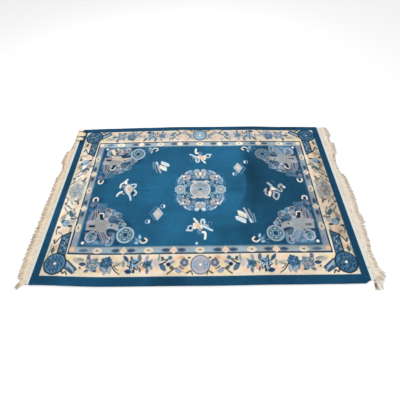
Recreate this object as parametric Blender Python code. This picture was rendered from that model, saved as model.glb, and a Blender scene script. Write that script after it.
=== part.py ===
# Chinese rug: a thick clipped wool pile with carved lines round its borders,
# and at each short end a flat-woven cotton web whose warps are knotted into a fringe.
# Metres, +X along the rug's length, +Y towards its far long side, +Z up.
# The underside lies on z = 0 and the origin is under the middle of the whole rug.
import math

import bmesh
import bpy
from mathutils import Vector

# The pile, a 6 by 9 foot rug.
PILE_LENGTH = 2.743
PILE_WIDTH = 1.829
PILE_THICKNESS = 0.014
HALF_LENGTH = PILE_LENGTH / 2
HALF_WIDTH = PILE_WIDTH / 2
FIELD_CELL = 0.18

# The pile's top isn't quite even: two long waves, in radians per metre each way.
UNEVENNESS = [
    {"height": 0.0007, "turn_x": 3.1, "turn_y": 1.3, "start": 0.0},
    {"height": 0.0004, "turn_x": -2.2, "turn_y": 5.3, "start": 1.0},
]

# The rounded edge of the clipped pile: distance in from the edge, and depth below the top.
EDGE_ROUNDING = [
    {"inset": 0.0, "drop": 0.0050},
    {"inset": 0.003, "drop": 0.0016},
    {"inset": 0.009, "drop": 0.0},
]

# Carved lines that run all round the rug, where one band of the border meets the next.
CARVED_LINE_HALF_WIDTH = 0.004
SAME_LINE = 0.0005
CARVED_LINES = [
    {"between": "outer band and main border", "inset": 0.068, "depth": 0.0016},
    {"between": "main border and guard stripe", "inset": 0.246, "depth": 0.0018},
    {"between": "guard stripe and field", "inset": 0.308, "depth": 0.0016},
]

# How far each long side bows out of a straight line. along is the distance from the left end.
FAR_SIDE = [
    {"along": 0.0, "out": 0.0},
    {"along": 0.30, "out": 0.011},
    {"along": 0.75, "out": 0.022},
    {"along": 1.15, "out": 0.031},
    {"along": 1.60, "out": 0.027},
    {"along": 1.95, "out": 0.026},
    {"along": 2.35, "out": 0.009},
    {"along": 2.743, "out": 0.0},
]
NEAR_SIDE = [
    {"along": 0.0, "out": 0.0},
    {"along": 0.60, "out": 0.016},
    {"along": 1.37, "out": 0.012},
    {"along": 2.10, "out": 0.004},
    {"along": 2.50, "out": 0.001},
    {"along": 2.69, "out": -0.002},
    {"along": 2.743, "out": -0.026},
]

# The flat-woven web between the pile and the fringe.
JOIN_GAP = 0.0003
WEB_WIDTH = 0.032
WEB_THICKNESS = 0.003
LEFT_WEB_LENGTH = PILE_WIDTH
RIGHT_WEB_LENGTH = 1.806

# The fringe: warps knotted close to the web, then lying free on the floor.
STRANDS_PER_END = 128
STRAND_SHARE = 0.42
STRAND_SHAPE = [
    {"part": "knot", "reach": 0.12, "width": 0.0090, "height": 0.0062},
    {"part": "neck", "reach": 0.26, "width": 0.0064, "height": 0.0038},
    {"part": "belly", "reach": 0.66, "width": 0.0094, "height": 0.0046},
    {"part": "tip", "reach": 1.0, "width": 0.0054, "height": 0.0024},
]
# No two strands are quite alike: how far each curls sideways, and how its length differs.
CURL = {"width": 0.0016, "step": 1.9, "turn": 4.0}
LENGTH_CHANGES = [{"share": 0.05, "step": 2.4}, {"share": 0.03, "step": 5.1}]

# How the fringe lies. along is the distance from the far corner, reach is how far the tips
# are from the pile, and sweep is how far they lean towards the near side.
LEFT_FRINGE = [
    {"along": 0.0, "reach": 0.080, "sweep": -0.010},
    {"along": 0.20, "reach": 0.062, "sweep": 0.0},
    {"along": 0.31, "reach": 0.068, "sweep": 0.010},
    {"along": 0.36, "reach": 0.110, "sweep": 0.012},
    {"along": 0.45, "reach": 0.118, "sweep": 0.006},
    {"along": 0.63, "reach": 0.097, "sweep": -0.004},
    {"along": 0.78, "reach": 0.111, "sweep": 0.004},
    {"along": 0.97, "reach": 0.108, "sweep": 0.010},
    {"along": 1.14, "reach": 0.117, "sweep": 0.004},
    {"along": 1.26, "reach": 0.112, "sweep": -0.006},
    {"along": 1.42, "reach": 0.119, "sweep": 0.002},
    {"along": 1.60, "reach": 0.120, "sweep": 0.008},
    {"along": 1.72, "reach": 0.118, "sweep": 0.006},
    {"along": 1.78, "reach": 0.086, "sweep": 0.018},
    {"along": 1.83, "reach": 0.098, "sweep": 0.046},
]
RIGHT_FRINGE = [
    {"along": 0.0, "reach": 0.112, "sweep": -0.002},
    {"along": 0.08, "reach": 0.134, "sweep": 0.004},
    {"along": 0.21, "reach": 0.100, "sweep": 0.008},
    {"along": 0.28, "reach": 0.136, "sweep": 0.0},
    {"along": 0.40, "reach": 0.126, "sweep": 0.006},
    {"along": 0.46, "reach": 0.088, "sweep": 0.008},
    {"along": 0.57, "reach": 0.078, "sweep": -0.002},
    {"along": 0.68, "reach": 0.087, "sweep": 0.002},
    {"along": 0.74, "reach": 0.121, "sweep": 0.006},
    {"along": 0.84, "reach": 0.122, "sweep": -0.004},
    {"along": 1.00, "reach": 0.131, "sweep": 0.004},
    {"along": 1.14, "reach": 0.118, "sweep": 0.008},
    {"along": 1.26, "reach": 0.128, "sweep": 0.0},
    {"along": 1.42, "reach": 0.108, "sweep": 0.006},
    {"along": 1.57, "reach": 0.092, "sweep": 0.002},
    {"along": 1.70, "reach": 0.106, "sweep": 0.014},
    {"along": 1.75, "reach": 0.124, "sweep": 0.034},
    {"along": 1.83, "reach": 0.086, "sweep": 0.060},
]

# At the far left corner the fringe is turned back over the pile in three locks.
# middle is where a lock's tips gather, cover is how far they reach over the pile.
TURNED_BACK = [
    {"lock": "corner", "from": 0.0, "to": 0.045, "middle": 0.022, "cover": 0.012},
    {"lock": "second", "from": 0.045, "to": 0.130, "middle": 0.098, "cover": 0.052},
    {"lock": "third", "from": 0.130, "to": 0.200, "middle": 0.163, "cover": 0.040},
]
GATHER = 0.58
# A turned-back strand: out is the distance beyond the web, back is the share of the way
# from the turn to the tips, and tilt is the strand's direction in degrees, 180 being back.
TURN_OUT = 0.012
TURN_PATH = [
    {"out": 0.010, "back": 0.0, "rise": 0.0031, "tilt": 8, "width": 0.0086, "height": 0.0062},
    {"out": 0.024, "back": 0.0, "rise": 0.0130, "tilt": 90, "width": 0.0066, "height": 0.0044},
    {"out": TURN_OUT, "back": 0.0, "rise": 0.0205, "tilt": 168, "width": 0.0076, "height": 0.0048},
    {"out": TURN_OUT, "back": 0.62, "rise": 0.0192, "tilt": 184, "width": 0.0070, "height": 0.0044},
    {"out": TURN_OUT, "back": 1.0, "rise": 0.0166, "tilt": 184, "width": 0.0040, "height": 0.0026},
]


def between_rows(rows, along, column):
    """A column's value at a distance along, eased from one row to the next."""
    if along <= rows[0]["along"]:
        return rows[0][column]
    for low, high in zip(rows, rows[1:]):
        if along <= high["along"]:
            share = (along - low["along"]) / (high["along"] - low["along"])
            eased = share * share * (3 - 2 * share)
            return low[column] + (high[column] - low[column]) * eased
    return rows[-1][column]


def material(name, colour, roughness):
    finish = bpy.data.materials.new(name)
    finish.use_nodes = True
    shader = finish.node_tree.nodes["Principled BSDF"]
    shader.inputs["Base Color"].default_value = (*colour, 1.0)
    shader.inputs["Roughness"].default_value = roughness
    shader.inputs["Metallic"].default_value = 0.0
    return finish


def piece(name, bm, finish, collection):
    bmesh.ops.recalc_face_normals(bm, faces=bm.faces)
    mesh = bpy.data.meshes.new(name)
    bm.to_mesh(mesh)
    bm.free()
    mesh.materials.append(finish)
    thing = bpy.data.objects.new(name, mesh)
    collection.objects.link(thing)
    return thing


def pile_lines(length):
    """Distances from one edge at which the pile's top has a row of points, edge to edge."""
    near_edge = [row["inset"] for row in EDGE_ROUNDING]
    for line in CARVED_LINES:
        middle = line["inset"]
        near_edge += [middle - CARVED_LINE_HALF_WIDTH, middle, middle + CARVED_LINE_HALF_WIDTH]
    field = length - 2 * near_edge[-1]
    cells = round(field / FIELD_CELL)
    across = [near_edge[-1] + field * i / cells for i in range(1, cells)]
    return near_edge + across + [length - inset for inset in reversed(near_edge)]


def pile_height(x, y):
    """The top of the pile at a point measured from the far left corner."""
    inset = min(x, PILE_LENGTH - x, y, PILE_WIDTH - y)
    for row in CARVED_LINES:
        if abs(inset - row["inset"]) < SAME_LINE:
            return PILE_THICKNESS - row["depth"]
    for row in EDGE_ROUNDING[:-1]:
        if abs(inset - row["inset"]) < SAME_LINE:
            return PILE_THICKNESS - row["drop"]
    waves = (w["height"] * math.sin(w["turn_x"] * x + w["turn_y"] * y + w["start"]) for w in UNEVENNESS)
    return PILE_THICKNESS + sum(waves)


def pile_point(x, y):
    """A point of the plan, from distances to the far left corner, with the sides' bow."""
    far = HALF_WIDTH + between_rows(FAR_SIDE, x, "out")
    near = -HALF_WIDTH - between_rows(NEAR_SIDE, x, "out")
    return x - HALF_LENGTH, far + (near - far) * y / PILE_WIDTH


def make_pile(finish, collection):
    xs = pile_lines(PILE_LENGTH)
    ys = pile_lines(PILE_WIDTH)
    bm = bmesh.new()
    bmesh.ops.create_grid(bm, x_segments=len(xs) - 1, y_segments=len(ys) - 1, size=0.5)
    for v in bm.verts:
        x = xs[round((v.co.x + 0.5) * (len(xs) - 1))]
        y = ys[round((0.5 - v.co.y) * (len(ys) - 1))]
        v.co = Vector((*pile_point(x, y), pile_height(x, y)))
    rim = [e for e in bm.edges if e.is_boundary]
    wall = bmesh.ops.extrude_edge_only(bm, edges=rim)["geom"]
    for v in wall:
        if isinstance(v, bmesh.types.BMVert):
            v.co.z = 0.0
    foot = [e for e in wall if isinstance(e, bmesh.types.BMEdge) and e.is_boundary]
    bmesh.ops.contextual_create(bm, geom=foot)
    return piece("rug_pile", bm, finish, collection)


def lying_strand(rows, along, number):
    """Sections of a strand that lies on the floor, beyond its root on the web."""
    reach = between_rows(rows, along, "reach") - WEB_WIDTH
    reach *= 1 + sum(c["share"] * math.sin(c["step"] * number) for c in LENGTH_CHANGES)
    sweep = between_rows(rows, along, "sweep")
    sections = []
    for row in STRAND_SHAPE:
        share = row["reach"]
        curl = CURL["width"] * math.sin(CURL["step"] * number + CURL["turn"] * share) * share
        sections.append({
            "out": WEB_WIDTH + reach * share,
            "along": along + sweep * share * share + curl,
            "rise": row["height"] / 2,
            "tilt": 0.0,
            "width": row["width"],
            "height": row["height"],
        })
    return sections


def turned_strand(lock, along):
    """Sections of a strand that is turned back over the web and the pile's edge."""
    gathered = lock["middle"] + (along - lock["middle"]) * GATHER
    spread = abs(along - lock["middle"]) / (lock["to"] - lock["from"])
    tip = -lock["cover"] * (1 - 0.5 * spread)
    sections = []
    for number, row in enumerate(TURN_PATH):
        start = WEB_WIDTH + row["out"]
        share = number / (len(TURN_PATH) - 1)
        sections.append({
            "out": start + (tip - start) * row["back"],
            "along": along + (gathered - along) * share,
            "rise": row["rise"],
            "tilt": math.radians(row["tilt"]),
            "width": row["width"],
            "height": row["height"],
        })
    return sections


def strand_sections(rows, turned_back, along, number):
    for lock in turned_back:
        if lock["from"] <= along < lock["to"]:
            return turned_strand(lock, along)
    return lying_strand(rows, along, number)


def grow_strand(bm, root, side, sections):
    """Draws a strand out of its root face on the web, one section after another."""
    face, centre, up = root, root.calc_center_median(), Vector((0, 0, 1))
    for section in sections:
        tilt = section["tilt"]
        new_centre = Vector((side * (HALF_LENGTH + section["out"]),
                             HALF_WIDTH - section["along"], section["rise"]))
        new_up = Vector((-side * math.sin(tilt), 0, math.cos(tilt)))
        face = bmesh.ops.extrude_discrete_faces(bm, faces=[face])["faces"][0]
        for v in face.verts:
            away = v.co - centre
            across = math.copysign(section["width"] / 2, away.y)
            lift = math.copysign(section["height"] / 2, away.dot(up))
            v.co = new_centre + Vector((0, across, 0)) + new_up * lift
        centre, up = new_centre, new_up


def make_fringe(name, side, length, rows, turned_back, finish, collection):
    """side is -1 for the left end and +1 for the right end, length is the web's."""
    inner = HALF_LENGTH + JOIN_GAP
    outer = HALF_LENGTH + WEB_WIDTH
    pitch = length / STRANDS_PER_END
    half_root = pitch * STRAND_SHARE / 2
    middles = [pitch * (i + 0.5) for i in range(STRANDS_PER_END)]
    stations = [0.0]
    for middle in middles:
        stations += [middle - half_root, middle + half_root]
    stations.append(length)
    bm = bmesh.new()
    bmesh.ops.create_grid(bm, x_segments=1, y_segments=len(stations) - 1, size=0.5)
    for v in bm.verts:
        along = stations[round((0.5 - v.co.y) * (len(stations) - 1))]
        v.co = Vector((side * (outer if v.co.x * side > 0 else inner), HALF_WIDTH - along, 0.0))
    top = bmesh.ops.extrude_face_region(bm, geom=bm.faces[:])["geom"]
    lifted = [v for v in top if isinstance(v, bmesh.types.BMVert)]
    bmesh.ops.translate(bm, verts=lifted, vec=(0, 0, WEB_THICKNESS))
    edge = [f for f in bm.faces if all(abs(v.co.x - side * outer) < SAME_LINE for v in f.verts)]
    edge.sort(key=lambda f: -f.calc_center_median().y)
    for number, root in enumerate(edge[1::2]):
        sections = strand_sections(rows, turned_back, middles[number], number)
        grow_strand(bm, root, side, sections)
    return piece(name, bm, finish, collection)


def stand_over_origin(pieces):
    """Moves the meshes so that the middle of the whole rug is over the origin."""
    corners = [v.co for thing in pieces for v in thing.data.vertices]
    middle_x = (min(c.x for c in corners) + max(c.x for c in corners)) / 2
    middle_y = (min(c.y for c in corners) + max(c.y for c in corners)) / 2
    for thing in pieces:
        for v in thing.data.vertices:
            v.co.x -= middle_x
            v.co.y -= middle_y


def main():
    for thing in list(bpy.data.objects):
        bpy.data.objects.remove(thing, do_unlink=True)
    collection = bpy.data.collections.new("chinese_rug")
    bpy.context.scene.collection.children.link(collection)
    wool = material("wool_pile", (0.022, 0.105, 0.200), 0.92)
    cotton_left = material("cotton_left", (0.66, 0.56, 0.42), 0.90)
    cotton_right = material("cotton_right", (0.68, 0.59, 0.46), 0.90)
    pieces = [
        make_pile(wool, collection),
        make_fringe("fringe_left", -1, LEFT_WEB_LENGTH, LEFT_FRINGE, TURNED_BACK, cotton_left, collection),
        make_fringe("fringe_right", 1, RIGHT_WEB_LENGTH, RIGHT_FRINGE, [], cotton_right, collection),
    ]
    stand_over_origin(pieces)


main()
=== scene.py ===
import itertools
import math

import bmesh
import bpy
import numpy as np
from mathutils import Matrix, Vector


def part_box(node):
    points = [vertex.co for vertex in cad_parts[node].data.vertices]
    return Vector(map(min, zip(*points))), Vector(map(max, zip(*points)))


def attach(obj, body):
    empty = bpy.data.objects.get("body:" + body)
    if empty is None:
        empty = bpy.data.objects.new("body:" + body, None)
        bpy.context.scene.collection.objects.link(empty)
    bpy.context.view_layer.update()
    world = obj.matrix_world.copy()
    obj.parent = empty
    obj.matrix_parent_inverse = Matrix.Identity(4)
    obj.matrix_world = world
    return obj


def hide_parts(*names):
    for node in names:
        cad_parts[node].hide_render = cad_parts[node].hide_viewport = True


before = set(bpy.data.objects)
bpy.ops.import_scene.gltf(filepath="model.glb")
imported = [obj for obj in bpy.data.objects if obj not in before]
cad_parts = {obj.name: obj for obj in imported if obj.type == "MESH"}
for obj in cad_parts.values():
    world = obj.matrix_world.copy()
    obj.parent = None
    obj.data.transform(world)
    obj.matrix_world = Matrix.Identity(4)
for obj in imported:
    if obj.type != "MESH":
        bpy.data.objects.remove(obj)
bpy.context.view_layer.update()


def entry(word):
    """A word of a table, as a path, a name or a number."""
    if ">" in word:
        return [tuple(float(part) for part in spot.split(",")) for spot in word.split(">")]
    return word if word[0].isalpha() else float(word)


def table(text):
    """Rows of named columns, None where a row ends early. A path is x,y>x,y and may go on below."""
    names, *rows = (line.split() for line in text.strip().replace(">\n", ">").splitlines())
    return [dict(itertools.zip_longest(names, map(entry, row))) for row in rows]


MM = 0.001
BODY = "root"
PILE_NODE = "rug_pile"

# The flat rug, and its bands as distances in from its edges.
LENGTH = 2743.0
WIDTH = 1829.0
MIDDLE_X = 1377.0
MIDDLE_Y = 902.0
BANDS = table("""
band left right far near carved
outer 67 68 67 74 1.3
border 246 241 246 262 1.5
guard 307 303 315 328 1.2
""")
EDGE_LINE = 6
BORDER_LINE = 8
GUARD_LINE = 5

# How far each long side bows out of a straight line, at distances from the left end.
FAR_SIDE = table("""
along out
0 0
300 11
750 22
1150 31
1600 27
1950 26
2350 9
2743 0
""")
NEAR_SIDE = table("""
along out
0 0
600 16
1370 12
2100 4
2500 1
2690 -2
2743 -26
""")

# The pile: a grid of knots in strips that meet, so that no mesh gets too large.
STRIPS = 4
COLUMNS = 702
ROWS_PER_STRIP = 117
BACK_COLUMNS = 280
BACK_ROWS = 186
BACK_THICKNESS = 0.002
PILE_FOOT = 0.0021
SHARP_ANGLE = math.radians(62)
PILE_THICKNESS = 0.014
PILE_WAVES = table("""
height turn_x turn_y start
0.0007 3.1 1.3 0.0
0.0004 -2.2 5.3 1.0
""")
TUFT_SEED = 11
TUFT_JITTER = 0.00022
SWELL_HEIGHT = 0.00025
SWELL_CELLS = 5
EDGE_DROP = 0.0050
EDGE_REACH = 3.75
EDGE_CURVE = 1.5
BACK_RIB = 0.0002

# The dyes, out of 255.
DYES = table("""
dye red green blue
field 34 93 127
band 24 71 101
ink 20 42 60
navy 28 62 95
denim 62 102 130
blue 85 128 160
frost 150 188 214
sky 196 216 228
guard 152 165 170
steel 110 142 160
lavender 146 150 176
lilac 176 172 186
mist 168 176 184
stone 150 152 150
slate 88 100 116
teal 62 100 108
sage 138 150 138
moss 84 84 58
bark 62 56 52
cream 226 211 188
ivory 232 226 212
white 238 240 238
straw 226 204 152
peach 230 192 158
apricot 218 166 130
rose 205 170 155
beige 188 178 164
taupe 120 106 96
""")


def linear(colour):
    """A colour out of 255 as the shader's linear values."""
    share = np.asarray(colour, float) / 255
    return np.where(share <= 0.04045, share / 12.92, ((share + 0.055) / 1.055) ** 2.4)


DYE = {row["dye"]: linear((row["red"], row["green"], row["blue"])) for row in DYES}


def between_rows(rows, along, column):
    """A column's value at distances along, eased from one row to the next."""
    stations = np.array([row["along"] for row in rows], float)
    values = np.array([row[column] for row in rows], float)
    low = np.clip(np.searchsorted(stations, along) - 1, 0, len(rows) - 2)
    share = np.clip((along - stations[low]) / (stations[low + 1] - stations[low]), 0, 1)
    return values[low] + (values[low + 1] - values[low]) * share * share * (3 - 2 * share)


pile_low, pile_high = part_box(PILE_NODE)
LEFT_END = pile_low.x
FAR_LINE = pile_high.y - max(row["out"] for row in FAR_SIDE) * MM
NEAR_LINE = pile_low.y + max(row["out"] for row in NEAR_SIDE) * MM


def on_floor(x, y):
    """Where a point of the flat rug lies, with the bow of the long sides."""
    far = FAR_LINE + between_rows(FAR_SIDE, x, "out") * MM
    near = NEAR_LINE - between_rows(NEAR_SIDE, x, "out") * MM
    return LEFT_END + np.asarray(x) * MM, far + (near - far) * np.asarray(y) / WIDTH


# The loom: dyes the knots, clips them low along the outlines, and paints shade into those grooves.

SOFT = 4.0
GROOVE = 5.0
# How much the painted shade darkens the knots in a groove's middle.
GROOVE_PAINTED_SHADE = 0.2


class Loom:
    """The knots of the pile as a grid on the flat rug, each with a dye, into which painted shade and light
    are mixed, and a clipped depth.
    """

    def __init__(self, columns, rows):
        self.x = np.linspace(0, LENGTH, columns + 1)
        self.y = np.linspace(0, WIDTH, rows + 1)
        self.dye = np.tile(DYE["field"], (rows + 1, columns + 1, 1))
        self.clipped = np.zeros((rows + 1, columns + 1))

    def window(self, x0, y0, x1, y1):
        columns = slice(*np.searchsorted(self.x, (x0, x1)))
        rows = slice(*np.searchsorted(self.y, (y0, y1)))
        return rows, columns

    def places(self, window):
        rows, columns = window
        return np.meshgrid(self.x[columns], self.y[rows])

    def lay(self, window, distance, colour, share=1.0, soft=SOFT):
        """Dyes the knots inside a shape. distance is below 0 inside it."""
        cover = share * np.clip(0.5 - distance / soft, 0, 1)[..., None]
        self.dye[window] += (colour - self.dye[window]) * cover

    def carve(self, window, distance, depth):
        """Clips a groove along a shape's outline, and fills those that lie under the shape. Paints shade
        into the knots along the groove.
        """
        clipped = np.where(distance < -GROOVE, 0, self.clipped[window])
        groove = depth * np.clip(1 - np.abs(distance) / GROOVE, 0, 1)
        self.clipped[window] = np.maximum(clipped, groove)
        # Painted shade: the knots in the groove are darkened.
        self.dye[window] *= 1 - GROOVE_PAINTED_SHADE * (groove / depth)[..., None]


loom = Loom(COLUMNS, STRIPS * ROWS_PER_STRIP)


class Place:
    """Where a motif lies on the flat rug: its origin and its two axes."""

    def __init__(self, x=0.0, y=0.0, turn=0.0, size=1.0, flip=(1, 1)):
        angle = math.radians(turn)
        spin = np.array(((math.cos(angle), -math.sin(angle)), (math.sin(angle), math.cos(angle))))
        self.origin = np.array((x, y), float)
        self.axes = size * spin @ np.diag(flip)
        self.size = size

    def at(self, x=0.0, y=0.0, turn=0.0, size=1.0, flip=(1, 1)):
        """A place given in this one's own measures."""
        inner = Place(x, y, turn, size, flip)
        place = Place()
        place.origin = self.origin + self.axes @ inner.origin
        place.axes = self.axes @ inner.axes
        place.size = self.size * size
        return place

    def dye(self, shape, colour, rim=None, rim_width=6.0, carve=0.0, share=1.0, soft=SOFT):
        """Dyes a shape here, over a rim of another dye if one is named."""
        box, distance = shape
        corners = self.origin[:, None] + self.axes @ np.array(
            [[box[0], box[2], box[0], box[2]], [box[1], box[1], box[3], box[3]]])
        spare = soft + GROOVE + (rim_width if rim else 0)
        low, high = corners.min(1) - spare, corners.max(1) + spare
        window = loom.window(low[0], low[1], high[0], high[1])
        x, y = loom.places(window)
        if x.size == 0:
            return
        back = np.linalg.inv(self.axes)
        dx, dy = x - self.origin[0], y - self.origin[1]
        away = distance(back[0, 0] * dx + back[0, 1] * dy, back[1, 0] * dx + back[1, 1] * dy)
        away = away * self.size
        if rim:
            loom.lay(window, away - rim_width, DYE[rim], share, soft)
        loom.lay(window, away, DYE[colour], share, soft)
        if carve:
            loom.carve(window, away - (rim_width if rim else 0), carve)


# Shapes. Each is a box round it, and the distance from its outline, below 0 inside.

def oval(across, down=None):
    down = down or across

    def distance(x, y):
        return (np.hypot(x / across, y / down) - 1) * min(across, down)
    return (-across, -down, across, down), distance


def ring(radius, width):
    def distance(x, y):
        return np.abs(np.hypot(x, y) - radius) - width / 2
    reach = radius + width / 2
    return (-reach, -reach, reach, reach), distance


def oval_ring(across, down, width):
    """A ring drawn along an ellipse."""
    def distance(x, y):
        return np.abs((np.hypot(x / across, y / down) - 1) * min(across, down)) - width / 2
    return (-across - width, -down - width, across + width, down + width), distance


def bar(across, down, corner=0.0):
    """A rectangle, with its corners rounded or not."""
    def distance(x, y):
        away_x = np.abs(x) - across / 2 + corner
        away_y = np.abs(y) - down / 2 + corner
        outside = np.hypot(np.maximum(away_x, 0), np.maximum(away_y, 0))
        return outside + np.minimum(np.maximum(away_x, away_y), 0) - corner
    return (-across / 2, -down / 2, across / 2, down / 2), distance


def diamond(across, down):
    def distance(x, y):
        lean = math.hypot(across, down)
        return (np.abs(x) * down + np.abs(y) * across - across * down / 2) / lean
    return (-across / 2, -down / 2, across / 2, down / 2), distance


def leaf(length, width, bend=0.0):
    """A pointed leaf along x, with its middle at 0, 0."""
    def distance(x, y):
        arch = np.clip(1 - (2 * x / length) ** 2, 0, 1)
        side = np.abs(y - bend * arch) - width / 2 * arch ** 0.8
        return np.maximum(side, np.abs(x) - length / 2)
    reach = width / 2 + abs(bend)
    return (-length / 2, -reach, length / 2, reach), distance


def petal(length, width):
    """A petal from its root at 0, 0, widest near its round end."""
    def distance(x, y):
        share = np.clip(x / length, 0, 1)
        side = np.abs(y) - width / 2 * np.sin(math.pi * share ** 1.5) ** 0.6
        return np.maximum(side, np.abs(x - length / 2) - length / 2)
    return (0, -width / 2, length, width / 2), distance


def scallop(radius, lobes, depth):
    """A round flower outline with so many lobes."""
    def distance(x, y):
        wave = np.abs(np.cos(np.arctan2(y, x) * lobes / 2))
        return np.hypot(x, y) - radius * (1 - depth + depth * wave)
    return (-radius, -radius, radius, radius), distance


def smooth_path(points, steps=4):
    """The points of a smooth line through a few chosen ones."""
    points = np.array(points, float)
    if len(points) < 3:
        return points
    ends = np.vstack((2 * points[0] - points[1], points, 2 * points[-1] - points[-2]))
    path = []
    for a, b, c, d in zip(ends, ends[1:], ends[2:], ends[3:]):
        for t in np.arange(steps) / steps:
            path.append(0.5 * (2 * b + (c - a) * t + (2 * a - 5 * b + 4 * c - d) * t * t
                               + (3 * b - a - 3 * c + d) * t ** 3))
    return np.vstack((path, points[-1:]))


def from_segments(x, y, path, widths):
    nearest = np.full(x.shape, 1e6)
    for (px, py), (qx, qy), start, end in zip(path, path[1:], widths, widths[1:]):
        dx, dy = qx - px, qy - py
        share = np.clip(((x - px) * dx + (y - py) * dy) / (dx * dx + dy * dy), 0, 1)
        away = np.hypot(x - px - share * dx, y - py - share * dy)
        nearest = np.minimum(nearest, away - (start + (end - start) * share) / 2)
    return nearest


def stroke(points, start, end=None):
    """A line through points, drawn from one width to another."""
    path = smooth_path(points)
    widths = np.linspace(start, start if end is None else end, len(path))

    def distance(x, y):
        return from_segments(x, y, path, widths)
    reach = widths.max() / 2
    low, high = path.min(0) - reach, path.max(0) + reach
    return (low[0], low[1], high[0], high[1]), distance


def polygon(points):
    corners = np.array(points, float)
    closed = np.vstack((corners, corners[:1]))

    def distance(x, y):
        edge = from_segments(x, y, closed, np.zeros(len(closed)))
        inside = np.zeros(x.shape, bool)
        for (px, py), (qx, qy) in zip(closed, closed[1:]):
            if py != qy:
                inside ^= ((py > y) != (qy > y)) & (x < (qx - px) * (y - py) / (qy - py) + px)
        return np.where(inside, -edge, edge)
    low, high = corners.min(0), corners.max(0)
    return (low[0], low[1], high[0], high[1]), distance


def curl(radius, width, turns=1.1, start=0.0, shrink=0.7):
    """A scroll that winds in towards 0, 0."""
    angles = np.linspace(0, turns * math.tau, max(6, round(turns * 9)))
    radii = radius * (1 - shrink * angles / angles[-1])
    angles = angles + math.radians(start)
    return stroke(np.column_stack((radii * np.cos(angles), radii * np.sin(angles))), width, width * 0.8)


# The bands.

def inset(x, y, band):
    """Distance to a frame that lies so far in from each edge, below 0 inside it."""
    return np.maximum(np.maximum(band["left"] - x, x - (LENGTH - band["right"])),
                      np.maximum(band["far"] - y, y - (WIDTH - band["near"])))


def whole_rug():
    window = (slice(None), slice(None))
    x, y = loom.places(window)
    return window, x, y


def dye_bands():
    window, x, y = whole_rug()
    outer, border, guard = (inset(x, y, band) for band in BANDS)
    half_line = EDGE_LINE / 2
    for distance, dye in (
            (np.full(x.shape, -SOFT), "band"),
            (outer, "cream"),
            (np.abs(outer + half_line) - half_line, "ivory"),
            (border - BORDER_LINE, "ivory"),
            (border - half_line, "ink"),
            (border + 1.5 * BORDER_LINE, "guard"),
            (guard, "steel"),
            (guard + GUARD_LINE, "field")):
        loom.lay(window, distance, DYE[dye])
    for edge, band in zip((outer, border, guard), BANDS):
        loom.carve(window, edge, band["carved"])


dye_bands()


# The motifs. Each is dyed in millimetres round its own middle.

QUARTERS = [
    Place(),
    Place(2 * MIDDLE_X, 0, flip=(-1, 1)),
    Place(0, 2 * MIDDLE_Y, flip=(1, -1)),
    Place(2 * MIDDLE_X, 2 * MIDDLE_Y, flip=(-1, -1)),
]


def round_mark(long, wide):
    return oval(long / 2, wide / 2)


# What each form of mark takes: its outline, its rim's width, its groove, its cover and its softness.
FORMS = {
    "patch": (round_mark, 0.0, 0.0, 0.75, 18),
    "oval": (round_mark, 4.0, 0.7, 1.0, SOFT),
    "drop": (round_mark, 3.0, 0.0, 1.0, SOFT),
    "bar": (lambda long, wide: bar(long, wide, 3), 4.0, 0.7, 1.0, SOFT),
    "curl": (lambda long, wide: curl(long / 2, wide), 3.0, 0.6, 1.0, SOFT),
    "blade": (leaf, 4.0, 0.0, 1.0, SOFT),
    "leaf": (leaf, 3.5, 0.8, 1.0, SOFT),
}
VEINED = 20


def marks(at, rows):
    """Leaves, spots, curls and soft patches of dye."""
    for row in rows:
        place = at.at(row["x"], row["y"], row["turn"])
        long, wide = row["long"], row["wide"]
        outline, rim_width, groove, cover, soft = FORMS[row["form"]]
        place.dye(outline(long, wide), row["dye"], row["rim"], rim_width, groove, cover, soft)
        if row["form"] == "leaf" and wide > VEINED:
            place.dye(stroke([(-long * 0.3, 0), (long * 0.3, 0)], 3, 2), "mist", share=0.4)


def lines(at, rows):
    """Twigs, ribbons and other bent strokes."""
    for row in rows:
        at.dye(stroke(row["path"], row["wide"], row["tip"]), row["dye"], carve=0.8)


def blossom(at, radius, petals, rim, heart, number=5):
    """An open flower: rimmed petals round a heart."""
    for count in range(number):
        place = at.at(turn=360 / number * count + 18)
        place.dye(petal(radius, radius * 1.05), petals, rim, radius * 0.09, carve=0.7)
        place.dye(stroke([(radius * 0.35, 0), (radius * 0.72, 0)], 4, 2), rim, share=0.7)
    at.dye(oval(radius * 0.24), heart, rim, radius * 0.08)


def peony(at, dark, middle, light, heart):
    """A full peony, about 130 across, its petals dark, middling and light in turn."""
    for count, turn in enumerate(range(-170, 190, 36)):
        long = 64 if count % 2 else 56
        place = at.at(turn=turn)
        place.dye(petal(long, 34), (dark, middle, light)[count % 3], light, 3.0, carve=0.9)
        place.at(long * 0.7).dye(leaf(24, 9), (middle, dark, dark)[count % 3])
    for count, turn in enumerate(range(-150, 210, 60)):
        place = at.at(turn=turn)
        place.dye(petal(38, 28), (middle, light)[count % 2], dark, 3.0, carve=0.7)
        place.at(24).dye(leaf(22, 8), dark, share=0.7)
    at.dye(oval(10, 8), heart, dark, 4.0)


def oval_link(at):
    """The guard stripe's cream ring with a dark eye."""
    at.dye(oval(43, 26), "ivory", carve=0.6)
    at.dye(oval(33, 18), "cream")
    at.dye(oval_ring(32, 17, 4), "stone", share=0.5)
    at.dye(oval(15, 8), "beige")
    for side in (-1, 1):
        at.at(side * 6, 0).dye(oval(5, 6), "bark")


def rosette_and_leaves(at, petals="peach"):
    for side in (-1, 1):
        place = at.at(side * 66, 0, 0, flip=(side, 1))
        place.dye(leaf(78, 32), "slate", "steel", 3.0, carve=0.8)
        place.dye(leaf(60, 19), "navy", share=0.7)
        place.at(-44, -12, 20).dye(leaf(30, 12), "denim")
    for turn in (0, 90, 180, 270):
        at.at(turn=turn).dye(petal(26, 24), petals, "ivory", 6.0, carve=0.6)
    at.dye(oval(7), "rose", "ivory", 3.0)


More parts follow.
